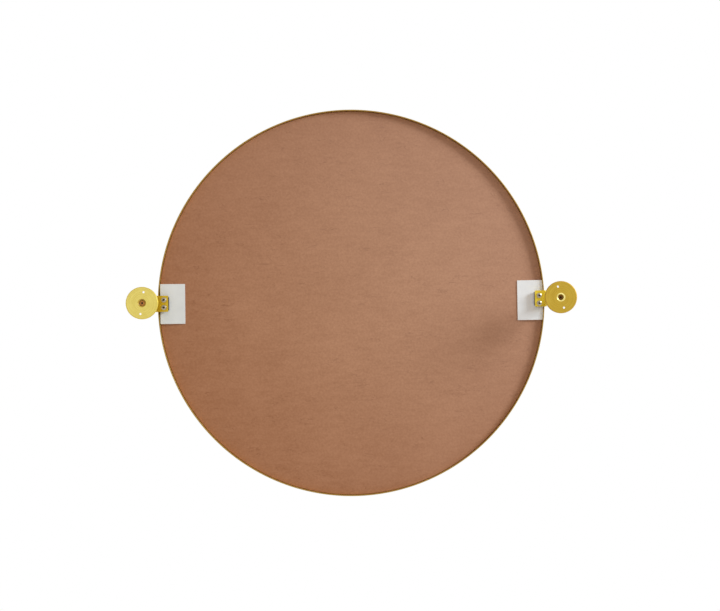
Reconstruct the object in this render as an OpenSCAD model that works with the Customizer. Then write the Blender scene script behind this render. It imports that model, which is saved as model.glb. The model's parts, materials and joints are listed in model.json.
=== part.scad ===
// Round pivot mirror for a wall, 610 mm across, that tilts between two brass posts.
//
// The model's frame: +Z is up, +Y points into the wall, and the glass faces -Y. The origin is on
// the wall's surface, midway between the two wall plates, at the height of the pivot axis.
//
// The modules are drawn in wall coordinates, which place() turns into the model's frame: x to
// the right as seen from the room, y up, and z straight out of the wall, so that a height z is
// also a distance from the wall. What comes twice is drawn for the right side, and on_side()
// mirrors it for the left.

/* [Mirror] */
// Outside diameter of the frame
mirror_d = 610; // [500:1:760]
// Depth of the frame from its rear edge to its front
frame_depth = 25; // [24:0.5:30]
// Thickness of the frame's strip and of its lip
frame_wall = 1.5; // [1:0.1:2]
// Width of the lip in front of the glass
lip_w = 5; // [4:0.5:8]
// Thickness of the foam glazing ring between lip and glass
glazing_t = 1; // [0.5:0.1:1.5]
// Thickness of the glass
glass_t = 4; // [3:0.5:5]
// Thickness of the strips that bond the board to the glass
bond_t = 0.5; // [0.3:0.1:1]
// Thickness of the fibreboard back
board_t = 11; // [10.5:0.5:12.5]
// Gap between the board or the glass and the frame's wall
edge_gap = 0.4; // [0.3:0.1:1.5]

/* [Standing off the wall] */
// Distance from the wall to the frame's rear edge
wall_gap = 50; // [45:1:60]
// Height of the pivot axis above the middle of the mirror
pivot_rise = 1.5; // [0:0.5:5]
// Distance from the frame's outside to the axis of a post
post_offset = 19; // [19:0.5:22]

/* [Wall plates] */
// Diameter of a wall plate
plate_d = 50; // [46:1:60]
// Thickness of a wall plate
plate_t = 5; // [4:0.5:6]
// Diameter of the hub in the middle of a wall plate
hub_d = 22; // [20:1:24]
// How far the hub stands out of the wall plate
hub_h = 5; // [5:0.5:8]
// Diameter of the circle that the two wall screws lie on
wall_hole_pcd = 34; // [33:0.5:36]
// Diameter of the holes for the wall screws
wall_hole_d = 3.5; // [3:0.1:5]
// Turn of the right wall plate from upright, in degrees
turn_right = 8.5; // [0:0.5:45]
// Turn of the left wall plate from upright, in degrees
turn_left = 15; // [0:0.5:45]

/* [Posts] */
// Diameter of a post's shank
shank_d = 8; // [8:1:16]
// Diameter of a post's head, which the stud goes through
head_d = 24; // [23:0.5:26]
// Height of the domed cap on the front of a post
cap_h = 6; // [5:0.5:8]

/* [Brackets] */
// Thickness of the bracket's brass
leaf_t = 3; // [2:0.5:4]
// Width of the bracket, up and down
leaf_w = 25.4; // [24:0.2:28]
// How far the right leaf reaches inside the frame's outside
leaf_reach_right = 16.5; // [15:0.5:20]
// How far the left leaf reaches inside the frame's outside
leaf_reach_left = 15.5; // [15:0.5:20]
// Distance between the two bracket screws
screw_pitch = 12; // [11.5:0.1:14]
// How far the middle of the right leaf's screws is below the pivot axis
screw_drop_right = 0; // [0:0.1:2]
// How far the middle of the left leaf's screws is below the pivot axis
screw_drop_left = 1.2; // [0:0.1:2]
// How far the white mounting plate reaches inside the frame's outside
pad_reach = 42.4; // [34:0.1:46]
// From the frame's outside to the right white plate's outer edge
pad_edge_right = 3.6; // [2:0.1:6]
// From the frame's outside to the left white plate's outer edge
pad_edge_left = 2.2; // [2:0.1:6]
// Height of the white mounting plate
pad_h = 62.9; // [50:0.1:64]
// Thickness of the white mounting plate at its inner edge
pad_t = 1.2; // [1:0.1:2]
// How far the white mounting plate stays below the frame's rear edge beside it
pad_step = 2.2; // [0.2:0.1:4]
// How far the middle of the right white plate is below the pivot axis
pad_drop_right = 0.3; // [0:0.1:2.5]
// How far the middle of the left white plate is below the pivot axis
pad_drop_left = 2.1; // [0:0.1:2.5]

/* [Pivots] */
// Diameter of the stud's journal
stud_d = 8; // [7:0.5:8]
// Radial clearance between the journal and a bush
run_gap = 0.05; // [0.02:0.01:0.1]
// End float between what turns and what stays still
end_gap = 0.1; // [0.05:0.05:0.3]

/* [Hidden] */
SIDES = ["left", "right"];
function pair(name) = [for (side = SIDES) str(name, "_", side)];

// Colours
BRASS = [0.80, 0.66, 0.25];
BRASS_DEEP = [0.74, 0.58, 0.13];
BRASS_TURNED = [0.84, 0.72, 0.34];
FIBREBOARD = [0.62, 0.44, 0.34];
WHITE_STEEL = [0.85, 0.85, 0.83];
DARK_STEEL = [0.16, 0.16, 0.17];
BRONZED = [0.42, 0.26, 0.12];
ZINC = [0.72, 0.72, 0.70];
SILVERED = [0.80, 0.86, 0.88];
FOAM = [0.20, 0.20, 0.21];
ADHESIVE = [0.86, 0.84, 0.76];
NYLON = [0.90, 0.89, 0.84];

$fn = 96;
ROUND = 240;      // facets drawn for the large circles
OVER = 1;         // how far a cutting shape goes past what it cuts
EDGE = 0.5;       // small chamfer on turned and cut edges

// Distances from the wall, rear to front
rear_z = wall_gap;
front_z = wall_gap + frame_depth;
axis_z = rear_z + frame_depth / 2;
lip_z = front_z - frame_wall;
glazing_z = lip_z - glazing_t;
glass_z = glazing_z - glass_t;
bond_z = glass_z - bond_t;
board_z = bond_z - board_t;
leaf_z = rear_z - leaf_t;

// The frame
frame_r = mirror_d / 2;
inner_r = frame_r - frame_wall;
lip_r = frame_r - lip_w;
glass_r = inner_r - edge_gap;
strip_pitch = 100;          // bonding strips, middle to middle
strip_w = 25;
strip_margin = 20;          // from a strip's end to the glass's edge

// The brackets
ear_gap = 0.5;              // between the frame's outside and the ear
ear_in_x = frame_r + ear_gap;
ear_out_x = ear_in_x + leaf_t;
screw_end = 6.6;            // from the leaf's inner end to the screws
bend_r = leaf_t + 0.5;      // outside radius of the bend
corner_r = 0.5;             // round corners of the leaf and of the white plate
pad_gap = 0.3;              // least gap between the white plate and the frame
pad_in_x = frame_r - pad_reach;
pad_out_r = inner_r - pad_gap;
block_inset = 2.4;          // from the block's sides to the leaf's
block_out = 1;              // how far the block shows past the leaf's inner end
block_gap = 2;              // least gap between the block and the frame
screw_r = 2;
screw_hole_r = 2.25;
screw_head_r = 4;
screw_head_h = 3.1;
screw_l = 16;
screw_dome_r = 6.5;         // of its head's top
cross_l = 4.4;              // its cross recess
cross_w = 0.9;
cross_h = 1.8;
cross_turn = 20;
insert_r = 3;
insert_l = 7.5;

// The pivots: places along x, from the ear outwards
post_x = frame_r + post_offset;
slide_gap = 0.2;            // radial clearance of the washers and of the spot faces
stud_r = stud_d / 2;
tail_r = 3;                 // the riveted tail and the threaded end
tail_head_r = 4.2;
tail_head_h = 1.2;
shoulder_r = 7;
shoulder_h = 3.5;
washer_t = 1;
washer_r = 6.5;
flange_t = 1.5;
bush_r = 5;
bush_l = 7;
spring_t = 0.6;
spring_h = 1;
spring_r = 6.2;
shoulder_x = ear_out_x + shoulder_h;
washer_x = shoulder_x + end_gap;
seat_x = washer_x + washer_t + flange_t;    // the inner spot face on the post's head
seat_half = post_x - seat_x;                // and the outer one mirrors it
spring_x = post_x + seat_half + flange_t + end_gap;
nut_x = spring_x + spring_h;
nut_flats = 10;
nut_l = 10;
nut_hex_h = 5;
nut_dome_r = 4.8;
nut_bore_l = 8;
stud_thread_l = 7;
seat_r = shoulder_r + slide_gap;

// The posts
collar_r = 9;
collar_h = 2;
base_z = plate_t + hub_h;
shank_r = shank_d / 2;
head_r = head_d / 2;
neck_h = 3;
cap_rim_h = 2;
cap_spigot_r = 4;
cap_spigot_l = 4.5;
cap_spigot_gap = 0.05;      // round the spigot, and EDGE below it
post_screw_r = 2.5;
post_screw_l = 14;
post_screw_head_r = 4.25;
post_screw_head_h = 3.5;
post_screw_web = 2.5;       // brass left under the screw's head
post_screw_gap = 0.25;      // radial clearance of its hole in the wall plate
post_screw_key = 3;         // across the flats of its socket
post_screw_key_h = 2;

// The wall plates
recess_r = 4.5;
recess_mouth_r = 6.4;
plate_chamfer = 0.8;
plate_round = 2;
wall_screw_head_r = 3.5;

// --- Helpers ---------------------------------------------------------------------------------

// Turns wall coordinates into the model's frame.
module place() {
    rotate([90, 0, 0]) children();
}

// Draws a right-hand sub-part in place on the named side.
module on_side(side) {
    place() {
        if (side == "left") mirror([1, 0, 0]) children();
        else children();
    }
}

// Turns what is drawn along z to lie along x, on the pivot axis, starting at x.
module on_pivot(x) {
    translate([x, 0, axis_z]) rotate([0, 90, 0]) children();
}

// Moves a drawing to the middle of the mirror, below the pivot axis.
module mirror_centre(z) {
    translate([0, -pivot_rise, z]) children();
}

// A round disc with a small chamfer on both of its edges.
module chamfered_disc(r, h, c = EDGE) {
    rotate_extrude($fn = ROUND)
        polygon([[0, 0], [r - c, 0], [r, c], [r, h - c], [r - c, h], [0, h]]);
}

// A flat ring.
module ring(r_out, r_in, h) {
    difference() {
        cylinder(r = r_out, h = h);
        translate([0, 0, -OVER]) cylinder(r = r_in, h = h + 2 * OVER);
    }
}

// A rectangle with round corners, from the origin.
module rounded_rect(w, h, r) {
    translate([r, 0]) square([w - 2 * r, h]);
    translate([0, r]) square([w, h - 2 * r]);
    for (x = [r, w - r], y = [r, h - r]) translate([x, y]) circle(r);
}

// A side's leaf: the x of its inner end, and the y of the middle of its screws.
function leaf_of(side) = side == "left"
    ? [frame_r - leaf_reach_left, -screw_drop_left]
    : [frame_r - leaf_reach_right, -screw_drop_right];

// The places of a leaf's two bracket screws, at a height z.
module at_bracket_screws(leaf, z) {
    for (end = [-1, 1])
        translate([leaf.x + screw_end, leaf.y + end * screw_pitch / 2, z]) children();
}

// The places of the two wall screws on a wall plate turned by an angle, top towards the mirror.
module at_wall_screws(turn) {
    for (end = [0, 180]) rotate([0, 0, turn + end]) translate([0, wall_hole_pcd / 2, 0]) children();
}

// --- The mirror ------------------------------------------------------------------------------

// Rolled strip with a lip at its front.
module frame_ring() {
    color(BRASS) mirror_centre(0) rotate_extrude($fn = ROUND) polygon([
        [inner_r, rear_z],
        [frame_r, rear_z],
        [frame_r, front_z - EDGE],
        [frame_r - EDGE, front_z],
        [lip_r, front_z],
        [lip_r, lip_z],
        [inner_r, lip_z]
    ]);
}

// Foam ring between the lip and the glass.
module glass_tape() {
    color(FOAM) mirror_centre(glazing_z) ring(glass_r, lip_r + EDGE, glazing_t, $fn = ROUND);
}

module mirror_glass() {
    color(SILVERED) mirror_centre(glass_z) chamfered_disc(glass_r, glass_t);
}

// Strips of adhesive across the back of the glass, each as long as the circle lets it be.
module bonding_strips() {
    color(ADHESIVE) mirror_centre(bond_z)
        for (i = [-2:2]) {
            y = i * strip_pitch;
            half = sqrt(pow(glass_r, 2) - pow(abs(y) + strip_w / 2, 2)) - strip_margin;
            translate([-half, y - strip_w / 2, 0]) cube([2 * half, strip_w, bond_t]);
        }
}

// The fibreboard back, with blind holes for the threaded inserts.
module backing_board() {
    color(FIBREBOARD) difference() {
        mirror_centre(board_z) chamfered_disc(glass_r, board_t);
        for (side = SIDES) mirror([side == "left" ? 1 : 0, 0, 0])
            at_bracket_screws(leaf_of(side), board_z - OVER)
                cylinder(r = insert_r, h = insert_l + OVER);
    }
}

// --- The brackets, drawn for the right side --------------------------------------------------

// Height of the white plate's wall side, which rises evenly from its inner edge to the frame.
function pad_z(x) =
    let (z0 = board_z - pad_t, z1 = rear_z + pad_step)
    z0 + (z1 - z0) * (x - pad_in_x) / (pad_out_r - pad_in_x);

// Extrudes a section in x and z along y, by w in all.
module along_y(w) {
    rotate([90, 0, 0]) linear_extrude(height = w, center = true) children();
}

// White tapered plate on the board, a little below the pivot axis, its outer edge cut to the
// frame's curve where it comes near, with holes for a leaf's screws.
module mounting_plate(leaf, drop, edge) {
    color(WHITE_STEEL) difference() {
        intersection() {
            translate([pad_in_x, -pad_h / 2 - drop, 0])
                linear_extrude(height = board_z) rounded_rect(pad_reach - edge, pad_h, corner_r);
            mirror_centre(0) cylinder(r = pad_out_r, h = board_z, $fn = ROUND);
            along_y(2 * pad_h) polygon([
                [pad_in_x, board_z],
                [pad_in_x, pad_z(pad_in_x)],
                [pad_out_r, pad_z(pad_out_r)],
                [pad_out_r, board_z]
            ]);
        }
        at_bracket_screws(leaf, rear_z) cylinder(r = screw_hole_r, h = board_z - rear_z + OVER);
    }
}

// Dark tapered block that levels a leaf on the white plate, and reaches past its inner end.
module spacer_block(leaf) {
    x0 = leaf.x - block_out;
    x1 = pad_out_r - block_gap;
    color(DARK_STEEL) difference() {
        along_y(leaf_w - 2 * block_inset)
            polygon([[x0, rear_z], [x1, rear_z], [x1, pad_z(x1)], [x0, pad_z(x0)]]);
        at_bracket_screws(leaf, rear_z - OVER)
            cylinder(r = screw_hole_r, h = board_z - rear_z + OVER);
    }
}

// Brass angle: a leaf over the frame's rear edge, and an ear down its outside with a
// round end.
module pivot_bracket(leaf) {
    length = frame_r + leaf_w - leaf.x;   // past the ear
    color(BRASS_DEEP) difference() {
        intersection() {
            along_y(leaf_w) bracket_section(leaf.x);
            translate([leaf.x, -leaf_w / 2, leaf_z - OVER])
                linear_extrude(height = frame_depth + leaf_t + 2 * OVER)
                    rounded_rect(length, leaf_w, corner_r);
            union() {
                translate([leaf.x - OVER, -leaf_w, leaf_z - OVER])
                    cube([length, 2 * leaf_w, axis_z - leaf_z + OVER]);
                on_pivot(leaf.x) cylinder(r = leaf_w / 2, h = length);
            }
        }
        at_bracket_screws(leaf, leaf_z - OVER) cylinder(r = screw_hole_r, h = leaf_t + 2 * OVER);
        on_pivot(ear_in_x - OVER) cylinder(r = tail_r, h = leaf_t + 2 * OVER);
        on_pivot(ear_in_x) cylinder(r1 = tail_head_r, r2 = tail_r, h = tail_head_h);
    }
}

// The angle's section in x and z, with the outside of its bend rounded.
module bracket_section(in_x) {
    difference() {
        union() {
            translate([in_x, leaf_z]) square([ear_out_x - in_x, leaf_t]);
            translate([ear_in_x, leaf_z]) square([leaf_t, frame_depth + leaf_t]);
        }
        difference() {
            translate([ear_out_x - bend_r, leaf_z - OVER]) square([bend_r + OVER, bend_r + OVER]);
            translate([ear_out_x - bend_r, leaf_z + bend_r]) circle(bend_r);
        }
    }
}

// Two pan-head screws with a cross recess, through the leaf, the block and the plate.
module bracket_screws(leaf) {
    color(ZINC) at_bracket_screws(leaf, leaf_z) {
        difference() {
            intersection() {
                translate([0, 0, -screw_head_h]) cylinder(r = screw_head_r, h = screw_head_h);
                translate([0, 0, screw_dome_r - screw_head_h]) sphere(r = screw_dome_r);
            }
            for (turn = [0, 90]) rotate([0, 0, turn + cross_turn])
                translate([-cross_l / 2, -cross_w / 2, -screw_head_h - OVER])
                    cube([cross_l, cross_w, cross_h + OVER]);
        }
        cylinder(r = screw_r, h = screw_l);
    }
}

// Threaded inserts for those screws, in the board.
module board_inserts(leaf) {
    color(BRASS) at_bracket_screws(leaf, board_z) ring(insert_r, screw_r, insert_l);
}

// --- The pivots, drawn for the right side ----------------------------------------------------

// Stud with a riveted tail in the ear, a shoulder, a journal and a threaded end.
module pivot_stud() {
    x1 = ear_out_x - ear_in_x;
    x2 = x1 + shoulder_h;
    x3 = nut_x - end_gap - ear_in_x;
    x4 = x3 + stud_thread_l;
    color(BRASS) on_pivot(ear_in_x) rotate_extrude() polygon([
        [0, 0],
        [tail_head_r, 0],
        [tail_r, tail_head_h],
        [tail_r, x1],
        [shoulder_r - EDGE, x1],
        [shoulder_r, x1 + EDGE],
        [shoulder_r, x2 - EDGE],
        [shoulder_r - EDGE, x2],
        [stud_r, x2],
        [stud_r, x3],
        [tail_r, x3],
        [tail_r, x4 - EDGE],
        [tail_r - EDGE, x4],
        [0, x4]
    ]);
}

// Brass washer between the stud's shoulder and the inner bush.
module thrust_washer() {
    color(BRASS) on_pivot(washer_x) ring(washer_r, stud_r + slide_gap, washer_t);
}

// A flanged bush, its flange's outside at z = 0 and its barrel upwards.
module flanged_bush() {
    color(NYLON) difference() {
        union() {
            cylinder(r = washer_r, h = flange_t);
            cylinder(r = bush_r, h = flange_t + bush_l);
        }
        translate([0, 0, -OVER]) cylinder(r = stud_r + run_gap, h = flange_t + bush_l + 2 * OVER);
    }
}

module inner_bush() {
    on_pivot(seat_x - flange_t) flanged_bush();
}

module outer_bush() {
    on_pivot(post_x + seat_half + flange_t) rotate([0, 180, 0]) flanged_bush();
}

// Conical spring washer under the nut, which keeps the pivot firm.
module spring_washer() {
    r_in = stud_r + slide_gap;
    rise = spring_h - spring_t;
    color(ZINC) on_pivot(spring_x) rotate_extrude()
        polygon([[r_in, rise], [spring_r, 0], [spring_r, spring_t], [r_in, spring_h]]);
}

// Low domed nut on the stud's end.
module cap_nut() {
    nut_corner_r = nut_flats / 2 / cos(30);
    taper_r = nut_corner_r - EDGE / 2;
    color(BRASS) on_pivot(nut_x) difference() {
        union() {
            intersection() {
                cylinder(r = nut_corner_r, h = nut_hex_h, $fn = 6);
                cylinder(r1 = taper_r, r2 = taper_r + nut_hex_h, h = nut_hex_h);
                cylinder(r1 = taper_r + nut_hex_h, r2 = taper_r, h = nut_hex_h);
            }
            cylinder(r = nut_dome_r, h = nut_l - nut_dome_r);
            translate([0, 0, nut_l - nut_dome_r]) sphere(r = nut_dome_r);
        }
        translate([0, 0, -OVER]) cylinder(r = tail_r, h = nut_bore_l + OVER);
    }
}

// --- The posts and wall plates, drawn for the right side --------------------------------------

// Turned post: collar, shank and a head with a cross bore and a spot face on each side.
module post() {
    seat_h = head_r;
    bore_l = 2 * head_r + 2 * OVER;
    color(BRASS) difference() {
        translate([post_x, 0, 0]) rotate_extrude() polygon([
            [0, base_z],
            [collar_r, base_z],
            [collar_r, base_z + collar_h - EDGE],
            [collar_r - EDGE, base_z + collar_h],
            [shank_r, base_z + collar_h],
            [shank_r, rear_z - neck_h],
            [head_r, rear_z],
            [head_r, front_z],
            [0, front_z]
        ]);
        on_pivot(post_x - bore_l / 2) cylinder(r = bush_r, h = bore_l);
        on_pivot(seat_x - seat_h) cylinder(r = seat_r, h = seat_h);
        on_pivot(post_x + seat_half) cylinder(r = seat_r, h = seat_h);
        translate([post_x, 0, base_z - OVER]) cylinder(r = post_screw_r, h = post_screw_l + OVER);
        translate([post_x, 0, front_z - cap_spigot_l - EDGE])
            cylinder(r = cap_spigot_r + cap_spigot_gap, h = cap_spigot_l + EDGE + OVER);
    }
}

// Domed cap that closes the front of the post.
module post_cap() {
    rise = cap_h - cap_rim_h;
    dome_r = (pow(head_r, 2) + pow(rise, 2)) / (2 * rise);
    color(BRASS_TURNED) translate([post_x, 0, front_z]) {
        intersection() {
            cylinder(r = head_r, h = cap_h);
            translate([0, 0, cap_h - dome_r]) sphere(r = dome_r);
        }
        translate([0, 0, -cap_spigot_l]) cylinder(r = cap_spigot_r, h = cap_spigot_l);
    }
}

// Low-head socket screw, recessed in the wall side of the plate, that holds the post.
module post_screw() {
    head_z = base_z - post_screw_web - post_screw_head_h;
    color(BRONZED) translate([post_x, 0, head_z]) difference() {
        union() {
            cylinder(r = post_screw_head_r, h = post_screw_head_h);
            cylinder(r = post_screw_r, h = post_screw_head_h + post_screw_l);
        }
        translate([0, 0, -OVER])
            cylinder(r = post_screw_key / 2 / cos(30), h = post_screw_key_h + OVER, $fn = 6);
    }
}

// Round wall plate with a hub, two countersunk wall-screw holes and a chamfered recess behind.
module wall_plate(turn) {
    plate_r = plate_d / 2;
    hub_r = hub_d / 2;
    recess_h = base_z - post_screw_web;
    mouth_h = recess_mouth_r - recess_r;
    sink_h = wall_screw_head_r - wall_hole_d / 2;
    color(BRASS_TURNED) translate([post_x, 0, 0]) difference() {
        union() {
            rotate_extrude() plate_section(plate_r);
            cylinder(r = hub_r, h = base_z - OVER);
            translate([0, 0, base_z - OVER]) cylinder(r1 = hub_r, r2 = hub_r - OVER, h = OVER);
        }
        translate([0, 0, -OVER]) cylinder(r = recess_r, h = recess_h + OVER);
        cylinder(r1 = recess_mouth_r, r2 = recess_r, h = mouth_h);
        cylinder(r = post_screw_r + post_screw_gap, h = base_z + OVER);
        at_wall_screws(turn) {
            translate([0, 0, -OVER]) cylinder(r = wall_hole_d / 2, h = plate_t + 2 * OVER);
            translate([0, 0, plate_t - sink_h])
                cylinder(r1 = wall_hole_d / 2, r2 = wall_screw_head_r, h = sink_h);
        }
    }
}

// Half section of the plate: chamfered on the wall side and rounded on the room side.
module plate_section(r) {
    polygon([
        [0, 0],
        [r - plate_chamfer, 0],
        [r, plate_chamfer],
        [r, plate_t - plate_round],
        [r - plate_round, plate_t - plate_round],
        [r - plate_round, plate_t],
        [0, plate_t]
    ]);
    intersection() {
        translate([r - plate_round, plate_t - plate_round]) circle(plate_round);
        translate([r - plate_round, plate_t - plate_round]) square(plate_round);
    }
}

// --- The assembly ----------------------------------------------------------------------------

place() frame_ring();
place() glass_tape();
place() mirror_glass();
place() bonding_strips();
place() backing_board();

for (side = SIDES) {
    leaf = leaf_of(side);
    on_side(side) mounting_plate(
            leaf,
            side == "left" ? pad_drop_left : pad_drop_right,
            side == "left" ? pad_edge_left : pad_edge_right
        );
    on_side(side) spacer_block(leaf);
    on_side(side) pivot_bracket(leaf);
    on_side(side) bracket_screws(leaf);
    on_side(side) board_inserts(leaf);
    on_side(side) pivot_stud();
    on_side(side) spring_washer();
    on_side(side) cap_nut();
    on_side(side) wall_plate(side == "left" ? turn_left : turn_right);
    on_side(side) post_screw();
    on_side(side) post();
    on_side(side) post_cap();
    on_side(side) inner_bush();
    on_side(side) outer_bush();
    on_side(side) thrust_washer();
}
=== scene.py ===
"""Looks of a round pivot mirror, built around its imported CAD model.

The model's frame is in metres: +Z is up, +Y points into the wall and the glass faces -Y. The
origin is on the wall's surface, midway between the wall plates, at the height of the pivot axis.
The photograph shows the back, so its camera stands at +Y and the photograph's left is +X.

Turned parts are drawn as half sections in (radius, height). Their height runs along their own
axis, which for the frame, the posts and the wall plates points out of the wall.
"""

import json
import logging
import math
from abc import ABC, abstractmethod
from collections.abc import Callable, Iterator, Mapping
from contextlib import contextmanager
from dataclasses import dataclass, field, replace
from enum import Enum
from typing import Any

import bmesh
import bpy
from mathutils import Matrix, Quaternion, Vector

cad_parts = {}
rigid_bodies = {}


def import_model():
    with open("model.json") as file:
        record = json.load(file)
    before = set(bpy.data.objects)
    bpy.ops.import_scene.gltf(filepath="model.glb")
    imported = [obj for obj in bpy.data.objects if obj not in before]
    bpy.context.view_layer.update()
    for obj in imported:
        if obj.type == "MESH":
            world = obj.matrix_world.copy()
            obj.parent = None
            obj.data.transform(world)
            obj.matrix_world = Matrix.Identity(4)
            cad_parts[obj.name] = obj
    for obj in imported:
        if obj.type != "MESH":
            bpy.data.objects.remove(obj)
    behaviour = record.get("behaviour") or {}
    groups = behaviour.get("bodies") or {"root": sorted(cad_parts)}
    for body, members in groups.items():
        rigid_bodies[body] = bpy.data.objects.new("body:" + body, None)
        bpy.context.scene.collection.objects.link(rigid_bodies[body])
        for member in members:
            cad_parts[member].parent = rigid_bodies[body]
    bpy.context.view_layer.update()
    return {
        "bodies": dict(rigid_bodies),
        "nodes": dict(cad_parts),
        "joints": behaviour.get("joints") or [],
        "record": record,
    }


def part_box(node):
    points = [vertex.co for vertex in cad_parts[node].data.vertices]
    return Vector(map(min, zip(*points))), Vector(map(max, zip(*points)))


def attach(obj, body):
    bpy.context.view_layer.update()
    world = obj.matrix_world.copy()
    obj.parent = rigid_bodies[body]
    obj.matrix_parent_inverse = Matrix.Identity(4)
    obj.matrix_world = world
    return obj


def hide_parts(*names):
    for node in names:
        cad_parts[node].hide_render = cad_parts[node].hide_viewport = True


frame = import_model()

MM = 0.001
MERGE_GAP = 0.001 * MM
CUT_PAST = 1 * MM
FLAT_ANGLE = math.radians(0.5)
SMOOTH_ANGLE = math.radians(33)
ROUNDING_STEPS = 3
FRAME_SEGMENTS = 384
TURNED_SEGMENTS = 192
SCREW_SEGMENTS = 96
CROSS_ARMS = 4
HEXAGON_SIDES = 6

NOISE_SPAN = (0.25, 0.75)
NOISE_MIDDLE = 0.5
WHOLE = (0.0, 1.0)
RECESS = "recess"

BYTE = 255
SRGB_KNEE = 0.04045
SRGB_SLOPE = 12.92
SRGB_LIFT = 0.055
SRGB_POWER = 2.4

log = logging.getLogger("pivot_mirror")

Span = tuple[float, float]
Triple = tuple[float, float, float]
Color = tuple[float, float, float, float]
Material = bpy.types.Material
Mesh = bpy.types.Mesh
Socket = bpy.types.NodeSocket
Inputs = Mapping[str | int, Any]

ORIGIN: Triple = (0.0, 0.0, 0.0)
ACROSS: Triple = (1.0, 1.0, 0.0)
EVEN: Triple = (1.0, 1.0, 1.0)
WHITE: Color = (1.0, 1.0, 1.0, 1.0)


def srgb(red: int, green: int, blue: int) -> Color:
    """Turns a colour as it is seen into the linear colour that shaders take.

    Args:
        red: Red, from 0 to 255.
        green: Green, from 0 to 255.
        blue: Blue, from 0 to 255.

    Returns:
        The linear colour, with full alpha.
    """
    shares = [value / BYTE for value in (red, green, blue)]
    linear = [
        share / SRGB_SLOPE
        if share <= SRGB_KNEE
        else ((share + SRGB_LIFT) / (1 + SRGB_LIFT)) ** SRGB_POWER
        for share in shares
    ]
    return (linear[0], linear[1], linear[2], 1.0)


# --- Sides and places ---


class Side(Enum):
    """The side of the mirror, as seen from the room."""

    LEFT = "left"
    RIGHT = "right"

    def of(self, name: str) -> str:
        """Returns the name of a piece on this side."""
        return f"{name}_{self.value}"


class Axis(Enum):
    """The way that a turned part's own axis points."""

    OUT_OF_WALL = (math.radians(90), 0.0, 0.0)
    TO_RIGHT = (0.0, math.radians(90), 0.0)
    TO_LEFT = (0.0, math.radians(-90), 0.0)

    @classmethod
    def outwards(cls, side: Side) -> "Axis":
        """Returns the axis along the pivots that points away from the mirror on a side."""
        return cls.TO_RIGHT if side is Side.RIGHT else cls.TO_LEFT


@dataclass(frozen=True)
class Place:
    """Where a part's own origin is, and the way that its axis points."""

    centre: Triple = ORIGIN
    axis: Axis = Axis.OUT_OF_WALL

    def matrix(self) -> Matrix:
        """Works out the turn and the shift of the place.

        Returns:
            The matrix that takes the part's own space to the model's.
        """
        turn = Matrix.Identity(4)
        for angle, letter in zip(self.axis.value, "XYZ"):
            turn = Matrix.Rotation(angle, 4, letter) @ turn
        return Matrix.Translation(self.centre) @ turn


@dataclass(frozen=True)
class NodeBox:
    """A CAD node's box at rest, and what is measured from it."""

    low: Vector
    high: Vector

    @classmethod
    def of(cls, node: str) -> "NodeBox":
        """Reads the box of a CAD node."""
        return cls(*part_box(node))

    @property
    def middle(self) -> Triple:
        """The middle of the box."""
        x, y, z = ((low + high) / 2 for low, high in zip(self.low, self.high))
        return (x, y, z)

    @property
    def radius(self) -> float:
        """The radius of a part that is turned about an axis out of the wall."""
        return (self.high.x - self.low.x) / 2

    @property
    def rear(self) -> float:
        """How far out of the wall the part starts."""
        return -self.high.y

    @property
    def front(self) -> float:
        """How far out of the wall the part ends."""
        return -self.low.y

    @property
    def on_wall(self) -> Place:
        """The place on the wall behind the middle of the part."""
        return Place((self.middle[0], 0.0, self.middle[2]))

    def on_pivot(self, side: Side) -> Place:
        """Returns the place of a part that is turned about the pivot axis, on a side."""
        return Place((0.0, *self.middle[1:]), Axis.outwards(side))


# --- Outlines ---


@dataclass(frozen=True)
class Corner:
    """One corner of an outline, with the radius that rounds it."""

    x: float
    y: float
    radius: float = 0.0


@dataclass(frozen=True)
class Outline:
    """A flat outline whose corners are rounded by arcs."""

    corners: tuple[Corner, ...]
    closed: bool = True
    arc_steps: int = 5

    def points(self) -> list[Vector]:
        """Draws the outline.

        Returns:
            Its points, with each rounded corner as an arc.
        """
        points: list[Vector] = []
        for index, corner in enumerate(self.corners):
            is_end = not self.closed and index in (0, len(self.corners) - 1)
            if corner.radius == 0 or is_end:
                points.append(Vector((corner.x, corner.y)))
            else:
                points.extend(self._arc(index))
        return points

    def _arc(self, index: int) -> list[Vector]:
        """Draws the arc that rounds one corner.

        Args:
            index: The corner's number.

        Returns:
            The arc's points, in the order of the corners.
        """
        before = self.corners[index - 1]
        corner = self.corners[index]
        after = self.corners[(index + 1) % len(self.corners)]
        here = Vector((corner.x, corner.y))
        back = (Vector((before.x, before.y)) - here).normalized()
        ahead = (Vector((after.x, after.y)) - here).normalized()
        half = back.angle(ahead) / 2
        centre = here + (back + ahead).normalized() * corner.radius / math.sin(half)
        start = here + back * corner.radius / math.tan(half) - centre
        end = here + ahead * corner.radius / math.tan(half) - centre
        sweep = (math.pi - 2 * half) / self.arc_steps
        turn = sweep if start.cross(end) > 0 else -sweep
        steps = range(self.arc_steps + 1)
        return [centre + Matrix.Rotation(step * turn, 2) @ start for step in steps]


def dome(radius: float, sphere: float, top: float, steps: int) -> list[Corner]:
    """Draws the half section of a dome, whose height grows in the direction of its top's sign.

    Args:
        radius: The radius of the dome's rim.
        sphere: The radius of the sphere that the dome is part of.
        top: The height of the dome's top, which is below 0 for a dome that faces down.
        steps: How many straight pieces draw it.

    Returns:
        Its corners, from beside the rim to the top.
    """
    slope = math.asin(radius / sphere)
    upwards = math.copysign(1.0, top)
    angles = [slope * (1 - step / steps) for step in range(1, steps + 1)]
    return [
        Corner(sphere * math.sin(angle), top - upwards * sphere * (1 - math.cos(angle)))
        for angle in angles
    ]


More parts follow.
